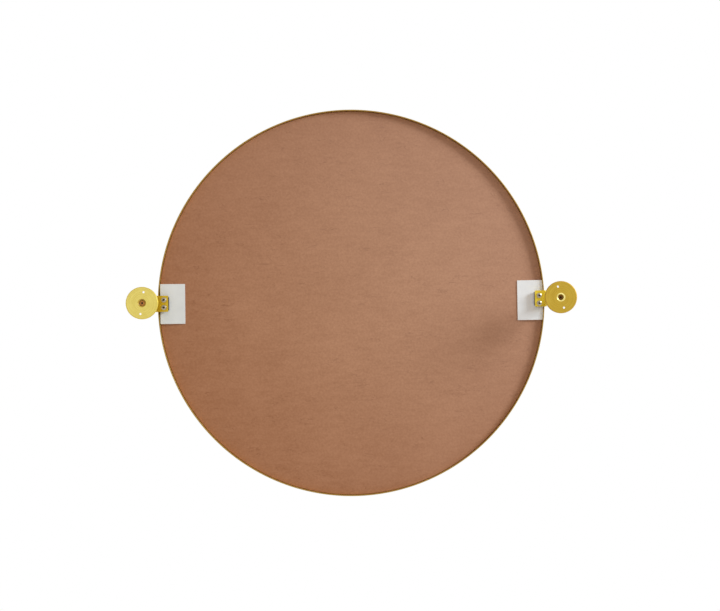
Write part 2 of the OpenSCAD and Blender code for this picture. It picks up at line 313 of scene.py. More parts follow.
def cross(length: float, width: float, radius: float) -> Outline:
    """Draws a cross with rounded corners.

    Args:
        length: The length of its arms, from end to end.
        width: The width of an arm.
        radius: The radius that rounds its corners.

    Returns:
        The outline, anticlockwise.
    """
    half, wide = length / 2, width / 2
    arm = [(half, -wide), (half, wide), (wide, wide)]
    corners: list[Corner] = []
    for _ in range(CROSS_ARMS):
        corners += [Corner(x, y, radius) for x, y in arm]
        arm = [(-y, x) for x, y in arm]
    return Outline(tuple(corners), arc_steps=2)


def hexagon(flats: float) -> Outline:
    """Draws a hexagon.

    Args:
        flats: Its width across the flats.

    Returns:
        The outline, anticlockwise.
    """
    radius = flats / 2 / math.cos(math.pi / HEXAGON_SIDES)
    angles = [step * math.tau / HEXAGON_SIDES for step in range(HEXAGON_SIDES)]
    return Outline(
        tuple(Corner(math.cos(angle) * radius, math.sin(angle) * radius) for angle in angles)
    )


# --- Meshes ---


def shown(name: str, data: bpy.types.ID) -> bpy.types.Object:
    """Puts data in the scene.

    Args:
        name: The object's name.
        data: Its mesh, curve, light or camera.

    Returns:
        The new object, at the origin.
    """
    thing = bpy.data.objects.new(name, data)
    bpy.context.scene.collection.objects.link(thing)
    return thing


@contextmanager
def temporary(data: bpy.types.ID) -> Iterator[bpy.types.Object]:
    """Holds a mesh or a curve in an object of the scene while the block runs.

    Args:
        data: The mesh or the curve.

    Yields:
        The object.
    """
    holder = shown("holder", data)
    try:
        yield holder
    finally:
        bpy.data.objects.remove(holder)


def evaluated(holder: bpy.types.Object) -> Mesh:
    """Returns what an object's modifiers make of it, as a plain mesh."""
    depsgraph = bpy.context.evaluated_depsgraph_get()
    return bpy.data.meshes.new_from_object(holder.evaluated_get(depsgraph))


def close(mesh: Mesh) -> None:
    """Merges a mesh's doubles, which closes its seams and poles, and points its faces outwards.

    Args:
        mesh: The mesh, which is changed.
    """
    solid = bmesh.new()
    solid.from_mesh(mesh)
    bmesh.ops.remove_doubles(solid, verts=solid.verts, dist=MERGE_GAP)
    bmesh.ops.recalc_face_normals(solid, faces=solid.faces)
    solid.to_mesh(mesh)
    solid.free()


def prism(outline: Outline, low: float, high: float, share: float = 1.0) -> Mesh:
    """Makes a cutter that stands on an outline.

    Args:
        outline: The outline of its foot, anticlockwise.
        low: The height of the foot.
        high: The height of the top.
        share: The size of the top, as a share of the foot's.

    Returns:
        The closed mesh.
    """
    points = outline.points()
    solid = bmesh.new()
    bottom = [solid.verts.new((*point, low)) for point in points]
    top = [solid.verts.new((*(point * share), high)) for point in points]
    solid.faces.new(reversed(bottom))
    solid.faces.new(top)
    for index in range(len(points)):
        after = (index + 1) % len(points)
        solid.faces.new((bottom[index], bottom[after], top[after], top[index]))
    mesh = bpy.data.meshes.new("cutter")
    solid.to_mesh(mesh)
    solid.free()
    return mesh


def mark_recess(mesh: Mesh, is_inside: Callable[[Vector], bool]) -> None:
    """Marks the faces in a mesh's recess, where its material paints shade.

    Args:
        mesh: The mesh, which is changed.
        is_inside: Tells whether a face with its centre at a point is in the recess.
    """
    marks = mesh.attributes.new(RECESS, "FLOAT", "FACE")
    for face in mesh.polygons:
        marks.data[face.index].value = float(is_inside(face.center))


# --- Geometry Nodes ---


class Tree:
    """Short calls for building a node tree of any kind."""

    def __init__(self, tree: bpy.types.NodeTree) -> None:
        """Takes the tree that the calls build, and empties it."""
        self.tree = tree
        tree.nodes.clear()

    def add(self, kind: str, inputs: Inputs | None = None, **settings: Any) -> bpy.types.Node:
        """Adds a node.

        Args:
            kind: The node's type.
            inputs: Values by input name or number. A socket is linked, and a value is set.
            **settings: The node's own settings, such as its operation.

        Returns:
            The new node.
        """
        node = self.tree.nodes.new(kind)
        for key, value in settings.items():
            setattr(node, key, value)
        for name, value in (inputs or {}).items():
            if isinstance(value, Socket):
                self.tree.links.new(value, node.inputs[name])
            else:
                node.inputs[name].default_value = value
        return node

    def math(self, operation: str, *values: float | Socket) -> Socket:
        """Returns the result of a Math node."""
        inputs = dict(enumerate(values))
        return self.add("ShaderNodeMath", inputs, operation=operation).outputs[0]

    def vector(self, operation: str, *values: Triple | Socket) -> Socket:
        """Returns the vector that a Vector Math node gives."""
        inputs = dict(enumerate(values))
        return self.add("ShaderNodeVectorMath", inputs, operation=operation).outputs["Vector"]

    def length(self, vector: Socket) -> Socket:
        """Returns the length of a vector."""
        return self.add("ShaderNodeVectorMath", {0: vector}, operation="LENGTH").outputs["Value"]

    def combine(self, **letters: float | Socket) -> Socket:
        """Returns the vector with these values of X, Y and Z, and 0 for those not given."""
        return self.add("ShaderNodeCombineXYZ", letters).outputs["Vector"]


class GeometryTree(Tree):
    """A Geometry Nodes tree with named inputs, run on an empty mesh to make a plain one."""

    def __init__(self, name: str) -> None:
        """Starts the tree.

        Args:
            name: The tree's name.
        """
        super().__init__(bpy.data.node_groups.new(name, "GeometryNodeTree"))
        self.identifiers: dict[str, str] = {}
        self.tree.interface.new_socket(
            "Geometry", in_out="OUTPUT", socket_type="NodeSocketGeometry"
        )
        self.group_in = self.tree.nodes.new("NodeGroupInput")

    def take(self, name: str, kind: str) -> Socket:
        """Adds a named input.

        Args:
            name: The input's name.
            kind: What it takes, such as Object, Int or Float.

        Returns:
            The input's socket.
        """
        item = self.tree.interface.new_socket(
            name, in_out="INPUT", socket_type=f"NodeSocket{kind}"
        )
        self.identifiers[name] = item.identifier
        return self.group_in.outputs[name]

    def shape(self, name: str) -> Socket:
        """Adds a named input for an object, and returns the object's geometry."""
        inputs = {"Object": self.take(name, "Object")}
        return self.add("GeometryNodeObjectInfo", inputs).outputs["Geometry"]

    def copies(self, points: Socket, shape: Socket, turn: Socket) -> Socket:
        """Sets copies of a shape on points.

        Args:
            points: The points.
            shape: What is copied.
            turn: The turn of each copy.

        Returns:
            The copies, as instances.
        """
        inputs = {"Points": points, "Instance": shape, "Rotation": turn}
        return self.add("GeometryNodeInstanceOnPoints", inputs).outputs["Instances"]

    def real(self, geometry: Socket) -> Socket:
        """Returns the geometry with its instances realized."""
        return self.add("GeometryNodeRealizeInstances", {"Geometry": geometry}).outputs[0]

    def end(self, geometry: Socket) -> None:
        """Ends the tree: instances are realized, and the result takes its material.

        Args:
            geometry: What the tree makes.
        """
        material = self.take("Material", "Material")
        inputs = {"Geometry": self.real(geometry), "Material": material}
        painted = self.add("GeometryNodeSetMaterial", inputs)
        self.add("NodeGroupOutput", {"Geometry": painted.outputs[0]})

    def run(self, **values: Any) -> Mesh:
        """Runs the tree.

        Args:
            **values: Each input's value, by the input's name.

        Returns:
            What the tree makes, as a plain mesh.
        """
        with temporary(bpy.data.meshes.new(self.tree.name)) as holder:
            modifier = holder.modifiers.new(self.tree.name, "NODES")
            modifier.node_group = self.tree
            for name, value in values.items():
                modifier[self.identifiers[name]] = value
            mesh = evaluated(holder)
            holder.modifiers.remove(modifier)
        return mesh


class LatheTree(GeometryTree):
    """Turns a half section into a solid: the outline is swept round a circle."""

    SWEEP_RADIUS = 50 * MM

    def __init__(self) -> None:
        """Builds the tree."""
        super().__init__("lathe")
        outline = self.shape("Outline")
        segments = self.take("Segments", "Int")
        radius = self.take("Radius", "Float")
        circle = self.add(
            "GeometryNodeCurvePrimitiveCircle",
            {"Resolution": segments, "Radius": radius},
            mode="RADIUS",
        )
        swept = self.add(
            "GeometryNodeCurveToMesh",
            {"Curve": circle.outputs["Curve"], "Profile Curve": outline},
        )
        self.end(swept.outputs["Mesh"])

    def turn(
        self, outline: Outline, material: Material, segments: int = TURNED_SEGMENTS
    ) -> Mesh:
        """Turns an outline.

        Args:
            outline: The half section, in radius and height. One that starts and ends on the
                axis is left open.
            material: The material of the solid.
            segments: How many straight sides the circles have.

        Returns:
            The solid, with its axis along +Z.
        """
        curve = bpy.data.curves.new("outline", "CURVE")
        curve.dimensions = "3D"
        spline = curve.splines.new("POLY")
        points = outline.points()
        spline.points.add(len(points) - 1)
        for place, point in zip(spline.points, points):
            place.co = (point.x - self.SWEEP_RADIUS, -point.y, 0.0, 1.0)
        spline.use_cyclic_u = outline.closed
        with temporary(curve) as holder:
            solid = self.run(
                Outline=holder, Segments=segments, Radius=self.SWEEP_RADIUS, Material=material
            )
        close(solid)
        return solid


@dataclass(frozen=True)
class HoleCircle:
    """Evenly spaced holes on a circle about a part's axis. Alone, one hole on the axis."""

    count: int = 1
    radius: float = 0.0
    turn: float = 0.0


class DrillTree(GeometryTree):
    """Cuts copies of a cutter, spaced evenly on a circle about +Z, out of a blank."""

    def __init__(self) -> None:
        """Builds the tree."""
        super().__init__("drill")
        blank = self.shape("Blank")
        cutter = self.shape("Cutter")
        count = self.take("Count", "Int")
        step = self.math("DIVIDE", math.tau, count)
        index = self.add("GeometryNodeInputIndex").outputs[0]
        angle = self.math("MULTIPLY_ADD", index, step, self.take("Turn", "Float"))
        place = self.add(
            "ShaderNodeVectorRotate",
            {"Vector": self.combine(X=self.take("Radius", "Float")), "Angle": angle},
            rotation_type="Z_AXIS",
        )
        points = self.add(
            "GeometryNodePoints", {"Count": count, "Position": place.outputs["Vector"]}
        )
        cutters = self.real(self.copies(points.outputs[0], cutter, self.combine(Z=angle)))
        cut = self.add(
            "GeometryNodeMeshBoolean",
            {"Mesh 1": blank, "Mesh 2": cutters},
            operation="DIFFERENCE",
            solver="MANIFOLD",
        )
        self.end(cut.outputs["Mesh"])

    def cut(
        self, blank: Mesh, cutter: Mesh, material: Material, circle: HoleCircle = HoleCircle()
    ) -> Mesh:
        """Cuts holes out of a blank.

        Args:
            blank: The solid that is cut.
            cutter: The shape of one hole, standing on the blank's axis.
            material: The material of the result.
            circle: Where the holes are.

        Returns:
            What is left of the blank.
        """
        with temporary(blank) as blank_holder, temporary(cutter) as cutter_holder:
            return self.run(
                Blank=blank_holder,
                Cutter=cutter_holder,
                Count=circle.count,
                Radius=circle.radius,
                Turn=circle.turn,
                Material=material,
            )


class FastenerTree(GeometryTree):
    """Sets copies of a fastener along a line, each turned about its own axis by chance."""

    # The sockets of a random number, whose names are shared by other types.
    RANDOM_MAX = 3
    RANDOM_VALUE = 1

    def __init__(self) -> None:
        """Builds the tree."""
        super().__init__("fastener_row")
        fastener = self.shape("Fastener")
        line = self.add(
            "GeometryNodeMeshLine",
            {
                "Count": self.take("Count", "Int"),
                "Start Location": self.take("Start", "Vector"),
                "Offset": self.take("Step", "Vector"),
            },
        )
        angle = self.add(
            "FunctionNodeRandomValue", {"Seed": self.take("Seed", "Int")}, data_type="FLOAT"
        )
        angle.inputs[self.RANDOM_MAX].default_value = math.tau
        turn = self.combine(Z=angle.outputs[self.RANDOM_VALUE])
        self.end(self.copies(line.outputs["Mesh"], fastener, turn))

    def row(
        self, fastener: Mesh, count: int, pitch: float, seed: int, material: Material
    ) -> Mesh:
        """Makes an upright row of fasteners, with its middle at the origin.

        Args:
            fastener: One fastener, on its own axis.
            count: How many there are.
            pitch: The distance between them.
            seed: The seed of their turns.
            material: Their material.

        Returns:
            The row, with the fasteners' axes along Z and the row along Y.
        """
        with temporary(fastener) as holder:
            return self.run(
                Fastener=holder,
                Count=count,
                Start=(0.0, -pitch * (count - 1) / 2, 0.0),
                Step=(0.0, pitch, 0.0),
                Seed=seed,
                Material=material,
            )


# --- Surfaces ---


@dataclass(frozen=True)
class Pattern:
    """Noise on a surface: how large its blotches are, and how fine, warped and drawn out."""

    size: float
    detail: float = 2.0
    warp: float = 0.0
    unit: Triple = EVEN


class Surface(Tree):
    """A material's shader tree around one Principled shader."""

    # The sockets of a mix of colours, whose names are shared by other types.
    MIX_FIRST = 6
    MIX_SECOND = 7
    MIX_RESULT = 2

    def __init__(self, name: str, place: Place, constants: Inputs) -> None:
        """Starts the material.

        Args:
            name: The material's name.
            place: The place of the part that it is on.
            constants: What is the same all over it, by the shader's input name.
        """
        self.place = place
        self.material = bpy.data.materials.new(name)
        self.material.use_nodes = True
        super().__init__(self.material.node_tree)
        self.shader = self.add("ShaderNodeBsdfPrincipled", constants)
        self.add("ShaderNodeOutputMaterial", {"Surface": self.shader.outputs["BSDF"]})

    def local(self, unit: Triple = EVEN) -> Socket:
        """Reads the part's own coordinates.

        Args:
            unit: The length that counts as 1 along each of its own axes.

        Returns:
            The coordinates.
        """
        inputs = {
            "Vector": self.add("ShaderNodeTexCoord").outputs["Object"],
            "Location": self.place.centre,
            "Rotation": self.place.axis.value,
            "Scale": unit,
        }
        return self.add("ShaderNodeMapping", inputs, vector_type="TEXTURE").outputs["Vector"]

    def along(self, letter: str) -> Socket:
        """Returns one of the part's own coordinates, X, Y or Z."""
        own = self.add("ShaderNodeSeparateXYZ", {"Vector": self.local()})
        return own.outputs[letter]

    def from_axis(self) -> Socket:
        """Returns the distance from the part's axis."""
        return self.length(self.vector("MULTIPLY", self.local(), ACROSS))

    def noise(self, vector: Socket, pattern: Pattern) -> Socket:
        """Makes noise.

        Args:
            vector: The coordinates that it is made from.
            pattern: Its size and its kind. Its unit belongs to the coordinates.

        Returns:
            The noise, from 0 to 1 and centred on a half.
        """
        inputs = {
            "Vector": vector,
            "Scale": 1 / pattern.size,
            "Detail": pattern.detail,
            "Distortion": pattern.warp,
        }
        return self.add("ShaderNodeTexNoise", inputs).outputs[0]

    def spot(self, pattern: Pattern) -> Socket:
        """Returns a pattern's noise in the part's own coordinates."""
        return self.noise(self.local(pattern.unit), pattern)

    def weigh(self, *terms: tuple[float, Socket]) -> Socket:
        """Adds values up.

        Args:
            *terms: Each value's weight, and the value.

        Returns:
            The sum of the values, each times its weight.
        """
        total: float | Socket = 0.0
        for weight, value in terms:
            total = self.math("MULTIPLY_ADD", value, weight, total)
        return total

    def spread(self, value: Socket, new: Span, old: Span = NOISE_SPAN) -> Socket:
        """Takes a value to another range, and no further.

        Args:
            value: The value.
            new: What it gives at the start and at the end of its old range.
            old: Its old range.

        Returns:
            The value in its new range.
        """
        names = ("Value", "From Min", "From Max", "To Min", "To Max")
        inputs = dict(zip(names, (value, *old, *new)))
        return self.add("ShaderNodeMapRange", inputs).outputs["Result"]

    def blend(self, factor: Socket, first: Color | Socket, second: Color | Socket) -> Socket:
        """Returns the first colour at factor 0, going over to the second at 1."""
        inputs = {0: factor, self.MIX_FIRST: first, self.MIX_SECOND: second}
        return self.add("ShaderNodeMix", inputs, data_type="RGBA").outputs[self.MIX_RESULT]

    def finish(self, color: Socket, roughness: Socket, height: Socket, relief: float) -> None:
        """Links a finish to the shader.

        Args:
            color: The colour.
            roughness: The roughness.
            height: The height of the relief, from 0 to 1.
            relief: The depth of the relief.
        """
        bump = self.add("ShaderNodeBump", {"Height": height, "Distance": relief})
        values = {"Base Color": color, "Roughness": roughness, "Normal": bump.outputs["Normal"]}
        for name, value in values.items():
            self.tree.links.new(value, self.shader.inputs[name])


class Measure(Enum):
    """What tells how much of a zone there is."""

    RADIUS = "distance from the axis"
    HEIGHT = "height along the axis"
    RECESS = "mark on the faces of a recess"


@dataclass(frozen=True)
class Zone:
    """Where a part has another tone and is duller: at a radius, at a height or in a recess.

    It is full at the radius or the height, and fades over a distance, which is below 0 inwards.
    """

    measure: Measure
    color: Color
    duller: float = 0.0
    fade: float = 0.0
    full: float = 0.0

    def at(self, full: float) -> "Zone":
        """Returns the zone with its full strength at a radius or a height."""
        return replace(self, full=full)

    def share(self, surface: Surface) -> Socket:
        """Reads how much of the zone there is.

        Args:
            surface: The surface that it is on.

        Returns:
            1 in the zone, falling to 0 where it has faded.
        """
        if self.measure is Measure.RECESS:
            return surface.add("ShaderNodeAttribute", attribute_name=RECESS).outputs["Fac"]
        if self.measure is Measure.RADIUS:
            reading = surface.from_axis()
        else:
            reading = surface.along("Z")
        return surface.spread(reading, (1.0, 0.0), (self.full, self.full + self.fade))


# --- Finishes ---


@dataclass(frozen=True, kw_only=True)
class Finish:
    """A finish in two tones, which follow broad clouds and a fine grain that is also its relief.

    The tones and the roughness are given where the noise is low, and where it is high.
    """

    tones: tuple[Color, Color]
    roughness: Span
    relief: float
    cloud: Pattern
    grain: Pattern
    grain_share: float = 0.0
    metallic: float = 0.0
    specular: float = 0.5
    coat: float = 0.0
    coat_roughness: float = 0.0
    zones: tuple[Zone, ...] = ()

    def material(self, name: str, place: Place = Place()) -> Material:
        """Makes the finish as a material.

        Args:
            name: The material's name.
            place: The part's place, which its pattern follows.

        Returns:
            The material.
        """
        constants = {
            "Metallic": self.metallic,
            "Specular IOR Level": self.specular,
            "Coat Weight": self.coat,
            "Coat Roughness": self.coat_roughness,
        }
        surface = Surface(name, place, constants)
        self.paint(surface)
        return surface.material

    def paint(self, surface: Surface) -> None:
        """Gives a part its colour, its roughness and its relief.

        Args:
            surface: The part's surface.
        """
        fine = self.fine(surface)
        cloud = surface.spot(self.cloud)
        tone = surface.weigh((1 - self.grain_share, cloud), (self.grain_share, fine))
        color = surface.blend(surface.spread(tone, WHOLE), *self.tones)
        roughness = surface.spread(fine, self.roughness)
        for zone in self.zones:
            share = zone.share(surface)
            color = surface.blend(share, color, zone.color)
            roughness = surface.math("MULTIPLY_ADD", share, zone.duller, roughness)
        surface.finish(color, roughness, fine, self.relief)

    def fine(self, surface: Surface) -> Socket:
        """Returns the fine grain on a surface."""
        return surface.spot(self.grain)


@dataclass(frozen=True, kw_only=True)
class LinedBrass(Finish):
    """Lacquered brass with fine lines round an axis, from a lathe or from brushing.

    A line's length is an angle in radians. The slant is how much closer the lines are along the
    axis than away from it.
    """

    tones: tuple[Color, Color] = (srgb(206, 172, 74), srgb(232, 206, 112))
    roughness: Span = (0.24, 0.36)
    pitch: float = 0.9 * MM
    length: float = 2.5
    slant: float = 1.7
    relief: float = 0.006 * MM
    cloud: Pattern = Pattern(14 * MM, 3.0)
    grain: Pattern = Pattern(1.0)
    grain_share: float = 0.6
    metallic: float = 1.0
    coat: float = 0.25
    coat_roughness: float = 0.3

    def fine(self, surface: Surface) -> Socket:
        """Draws the lines.

        Args:
            surface: The part's surface.

        Returns:
            Noise from 0 to 1, drawn out round the axis.
        """
        radial = surface.vector("MULTIPLY", surface.local(), ACROSS)
        height = surface.along("Z")
        across = surface.math("MULTIPLY_ADD", height, self.slant, surface.length(radial))
        around = surface.vector("NORMALIZE", radial)
        drawn = surface.vector("MULTIPLY", around, (1 / self.length,) * 3)
        lines = surface.combine(Z=surface.math("DIVIDE", across, self.pitch))
        return surface.noise(surface.vector("ADD", drawn, lines), self.grain)


@dataclass(frozen=True, kw_only=True)
class SatinBrass(Finish):
    """Cut and bent brass strip, brushed along its length and lacquered."""

    tones: tuple[Color, Color] = (srgb(194, 155, 20), srgb(219, 190, 52))
    roughness: Span = (0.26, 0.38)
    relief: float = 0.006 * MM
    cloud: Pattern = Pattern(7 * MM, 3.0)
    grain: Pattern = Pattern(1.0, unit=(0.7 * MM, 0.7 * MM, 9 * MM))
    grain_share: float = 0.5
    metallic: float = 0.9
    coat: float = 0.25
    coat_roughness: float = 0.15


@dataclass(frozen=True, kw_only=True)
class Fibreboard(Finish):
    """Raw brown fibreboard: fine grain, broad mottling and thin dark fibres lying across."""

    tones: tuple[Color, Color] = (srgb(158, 107, 72), srgb(178, 127, 92))
    tone_span: Span = (0.34, 0.66)
    roughness: Span = (0.62, 0.80)
    relief: float = 0.12 * MM
    specular: float = 0.3
    radius: float = 303 * MM
    mottle: Pattern = Pattern(110 * MM, 2.0, 0.6)
    mottle_share: float = 0.23
    cloud: Pattern = Pattern(8 * MM, 4.0, 0.5, (3.5, 1.0, 1.0))
    cloud_share: float = 0.27
    grain: Pattern = Pattern(3.2 * MM, 3.0)
    grain_share: float = 0.50
    grain_height: float = 0.7
    fibre: Color = srgb(126, 78, 46)
    fibre_height: float = -0.3
    fibre_paths: Pattern = Pattern(7 * MM, 2.0, 0.8, (4.0, 1.0, 1.0))
    fibre_width: float = 0.018
    fibre_strength: float = 0.5
    patches: Pattern = Pattern(22 * MM, 3.0, 0.0, (1.6, 1.0, 1.0))
    patch_span: Span = (0.52, 0.62)
    # Painted sheen: a pale veil over the board, stronger towards the side and the top that the
    # light comes from.
    sheen_veil: Color = srgb(224, 221, 216)
    sheen_veil_share: float = 0.045
    sheen_veil_to_left: float = 0.040
    sheen_veil_to_top: float = 0.027
    # Painted shade: the board goes over to a reddish dark towards its edge, growing with the
    # square of the distance from its middle.
    painted_edge_shade: Color = srgb(119, 50, 0)
    painted_edge_shade_share: float = 0.175

    def paint(self, surface: Surface) -> None:
        """Draws the grain and the fibres, with a painted sheen and a painted shade over them.

        Args:
            surface: The board's surface.
        """
        grain = surface.spot(self.grain)
        tone = surface.weigh(
            (self.mottle_share, surface.spot(self.mottle)),
            (self.cloud_share, surface.spot(self.cloud)),
            (self.grain_share, grain),
        )
        shade = surface.blend(surface.spread(tone, WHOLE, self.tone_span), *self.tones)
        fibres = self._fibres(surface)
        color = self._paint_sheen_and_shade(surface, surface.blend(fibres, shade, self.fibre))
        height = surface.weigh((self.grain_height, grain), (self.fibre_height, fibres))
        surface.finish(color, surface.spread(grain, self.roughness), height, self.relief)

    def _paint_sheen_and_shade(self, surface: Surface, color: Socket) -> Socket:
        """Paints a pale sheen over the board, stronger to the left and the top where the light
        comes from, and painted shade that darkens it outwards.

        Args:
            surface: The board's surface.
            color: The board's own colour.

        Returns:
            The colour with the painted sheen and the painted shade.
        """
        # Painted sheen: the veil grows towards the left and the top, where the light stands.
        sheen_veil_amount: float | Socket = self.sheen_veil_share
        for letter, share in (("X", -self.sheen_veil_to_left), ("Y", self.sheen_veil_to_top)):
            own = surface.along(letter)
            sheen_veil_amount = surface.math("MULTIPLY_ADD", own, share / self.radius, sheen_veil_amount)
        # Painted shade, darker towards the board's edge.
        away = surface.from_axis()
        squared = surface.math("MULTIPLY", away, away)
        edge_shade_amount = surface.spread(squared, (0.0, self.painted_edge_shade_share), (0.0, self.radius**2))
        color = surface.blend(surface.math("MAXIMUM", sheen_veil_amount, 0.0), color, self.sheen_veil)
        return surface.blend(edge_shade_amount, color, self.painted_edge_shade)

    def _fibres(self, surface: Surface) -> Socket:
        """Draws thin broken lines that lie mostly across the board.

        Args:
            surface: The board's surface.

        Returns:
            The strength of the fibres, and 0 beside them.
        """
        paths = surface.spot(self.fibre_paths)
        away = surface.math("ABSOLUTE", surface.math("SUBTRACT", paths, NOISE_MIDDLE))
        line = surface.spread(away, (1.0, 0.0), (0.0, self.fibre_width))
        patches = surface.spot(self.patches)
        broken = surface.spread(patches, (0.0, self.fibre_strength), self.patch_span)
        return surface.math("MULTIPLY", line, broken)


@dataclass(frozen=True, kw_only=True)
class PowderCoat(Finish):
    """White powder coat with a faint orange peel."""

    roughness: Span = (0.40, 0.52)
    relief: float = 0.02 * MM
    cloud: Pattern = Pattern(18 * MM, 3.0)
    grain: Pattern = Pattern(1.3 * MM, 1.0)
    specular: float = 0.4


@dataclass(frozen=True, kw_only=True)
class PlatedSteel(Finish):
    """Plated or blackened steel, with small changes of tone and a fine grain."""

    relief: float = 0.008 * MM
    cloud: Pattern = Pattern(3 * MM, 3.0)
    grain: Pattern = Pattern(0.5 * MM)


@dataclass(frozen=True, kw_only=True)
class SilveredGlass(Finish):
    """Polished, silvered glass with the faintest cool tint, whose haze is its only grain."""

    tones: tuple[Color, Color] = (srgb(238, 243, 242), srgb(233, 239, 239))
    roughness: Span = (0.012, 0.035)
    relief: float = 0.001 * MM
    cloud: Pattern = Pattern(60 * MM, 4.0)
    grain: Pattern = Pattern(60 * MM, 4.0)
    metallic: float = 1.0


@dataclass(frozen=True, kw_only=True)
class Moulded(Finish):
    """A plastic, foam or adhesive: soft changes of tone and a fine pore."""

    cloud: Pattern = Pattern(6 * MM, 3.0)
    grain_share: float = 0.5
    specular: float = 0.35


# Painted shade: the near-black colour of faces marked as a recess, where little light reaches.
PAINTED_RECESS_SHADE = Zone(Measure.RECESS, srgb(36, 28, 20))
TURNED_BRASS = LinedBrass()
FRAME_BRASS = LinedBrass(
    tones=(srgb(206, 162, 66), srgb(235, 200, 104)),
    pitch=0.35 * MM,
    length=0.06,
    roughness=(0.24, 0.38),
    metallic=0.7,
)
FRAME_CUT = Zone(Measure.HEIGHT, srgb(160, 127, 53), duller=0.3, fade=0.8 * MM)
ZINC = PlatedSteel(
    tones=(srgb(140, 128, 106), srgb(176, 164, 142)), metallic=1.0, roughness=(0.30, 0.42)
)
# Painted light: the same blackened steel, in a dark tone on the right and a lighter, lit tone on
# the left.
BLACKENED_LIT_BY_SIDE = {
    Side.RIGHT: PlatedSteel(
        tones=(srgb(54, 52, 52), srgb(74, 70, 70)), metallic=0.6, roughness=(0.42, 0.58)
    ),
    Side.LEFT: PlatedSteel(
        tones=(srgb(114, 112, 116), srgb(136, 134, 136)), metallic=0.6, roughness=(0.42, 0.58)
    ),
}
# The bronzed screw at the bottom of the post's hole, in a lit tone on the right and a darker
# tone on the left: the difference is painted light and shade.
BRONZED_LIT_BY_SIDE = {
    Side.RIGHT: PlatedSteel(
        tones=(srgb(170, 110, 50), srgb(206, 140, 72)),
        metallic=0.6,
        roughness=(0.34, 0.48),
        zones=(PAINTED_RECESS_SHADE,),
    ),
    Side.LEFT: PlatedSteel(
        tones=(srgb(90, 60, 22), srgb(124, 84, 34)),
        metallic=1.0,
        roughness=(0.30, 0.44),
        zones=(PAINTED_RECESS_SHADE,),
    ),
}
# Painted light: the same wall-plate brass, paler on the right and deeper on the left, as light
# and reflections fall on the two plates.
WALL_BRASS_LIT_BY_SIDE = {
    Side.RIGHT: LinedBrass(tones=(srgb(210, 187, 86), srgb(234, 216, 119))),
    Side.LEFT: LinedBrass(tones=(srgb(178, 142, 37), srgb(203, 171, 62))),
}
# Painted shade: the plates' outer edge goes over to a deeper, duller tone, in a lit and a shaded
# copy for the two sides.
PLATE_EDGE_SHADE = {
    Side.RIGHT: Zone(Measure.RADIUS, srgb(207, 184, 75), duller=0.4, fade=-1.2 * MM),
    Side.LEFT: Zone(Measure.RADIUS, srgb(184, 146, 44), duller=0.4, fade=-1.2 * MM),
}
# The mouth of each plate's recess: on the left a pale tone, a painted highlight; on the right a
# dull tone that holds back the glint.
PLATE_MOUTH_LIT_BY_SIDE = {
    Side.RIGHT: Zone(Measure.RADIUS, srgb(206, 178, 84), duller=0.64, fade=0.3 * MM),
    Side.LEFT: Zone(Measure.RADIUS, srgb(250, 236, 160), duller=0.05, fade=0.3 * MM),
}
# Painted light: the same white coat, a little darker on the right and lighter on the left.
WHITE_COAT_LIT_BY_SIDE = {
    Side.RIGHT: PowderCoat(tones=(srgb(213, 214, 211), srgb(221, 222, 219))),
    Side.LEFT: PowderCoat(tones=(srgb(223, 223, 222), srgb(231, 231, 230))),
}
# Painted light: the same leaf brass, brighter and less metallic on the left, which lifts the
# shade that the wall plate casts on that leaf.
LEAF_BRASS_LIT_BY_SIDE = {
    Side.RIGHT: SatinBrass(),
    Side.LEFT: SatinBrass(tones=(srgb(218, 186, 38), srgb(239, 214, 66)), metallic=0.6),
}
NYLON = Moulded(
    tones=(srgb(222, 218, 204), srgb(236, 233, 222)),
    roughness=(0.40, 0.52),
    grain=Pattern(0.8 * MM),
    relief=0.01 * MM,
)
FOAM = Moulded(
    tones=(srgb(34, 34, 36), srgb(52, 52, 54)),
    roughness=(0.80, 0.95),
    grain=Pattern(0.6 * MM),
    relief=0.10 * MM,
)
ADHESIVE = Moulded(
    tones=(srgb(216, 210, 190), srgb(232, 228, 212)),
    roughness=(0.35, 0.50),
    grain=Pattern(2.5 * MM),
    relief=0.05 * MM,
)


# --- The workshop ---


